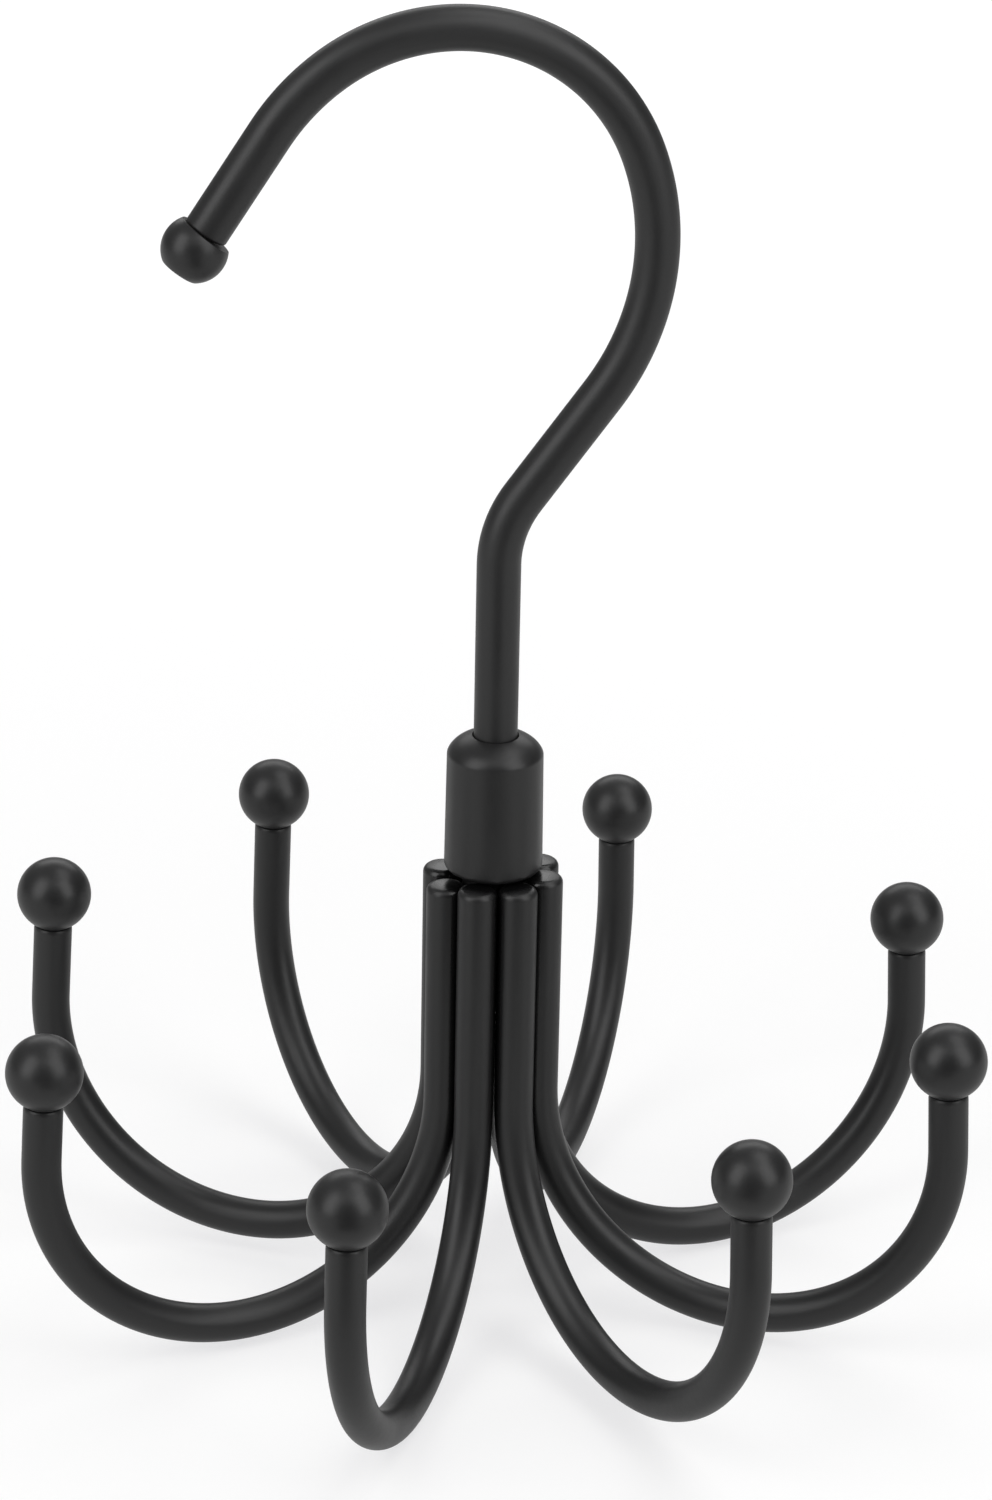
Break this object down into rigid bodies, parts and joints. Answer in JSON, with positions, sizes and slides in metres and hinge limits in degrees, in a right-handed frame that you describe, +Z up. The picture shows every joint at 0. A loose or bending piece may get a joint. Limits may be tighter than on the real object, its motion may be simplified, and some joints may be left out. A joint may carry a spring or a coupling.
{
  "type": "rotating closet hook",
  "caption": "Closet rod hook on a barrel swivel that carries a ring of J-shaped wire arms with ball tips, for scarves, belts and bags.",
  "frame": {"origin": "on the swivel's axis, level with the lowest foot of the arms", "axes": "+Z up along the swivel's axis; the top hook lies in the XZ plane at rest, with its open tip towards -X"},
  "size_m": [0.1288, 0.1251, 0.1746],
  "materials": {
    "hook_coat": "matte black powder coat",
    "barrel_coat": "matte black powder coat",
    "arm_coat": "matte black powder coat",
    "ball_coat": "matte black powder coat",
    "core_coat": "matte black powder coat",
    "collar_steel": "turned steel",
    "washer_zinc": "zinc plated"
  },
  "bodies": {
    "arm_ring": {"swivel_barrel": "barrel_coat", "core_pin": "core_coat", "arm_1": "arm_coat", "arm_2": "arm_coat", "arm_3": "arm_coat", "arm_4": "arm_coat", "arm_5": "arm_coat", "arm_6": "arm_coat", "arm_7": "arm_coat", "arm_8": "arm_coat", "arm_ball_1": "ball_coat", "arm_ball_2": "ball_coat", "arm_ball_3": "ball_coat", "arm_ball_4": "ball_coat", "arm_ball_5": "ball_coat", "arm_ball_6": "ball_coat", "arm_ball_7": "ball_coat", "arm_ball_8": "ball_coat"},
    "top_hook": {"hanger_hook": "hook_coat", "hook_tip_ball": "ball_coat", "thrust_washer": "washer_zinc", "shank_collar": "collar_steel"}
  },
  "joints": [
    {"name": "swivel", "type": "hinge", "parent": "arm_ring", "child": "top_hook", "pos_m": [0, 0, 0.0803], "axis": [0, 0, 1], "continuous": true}
  ]
}
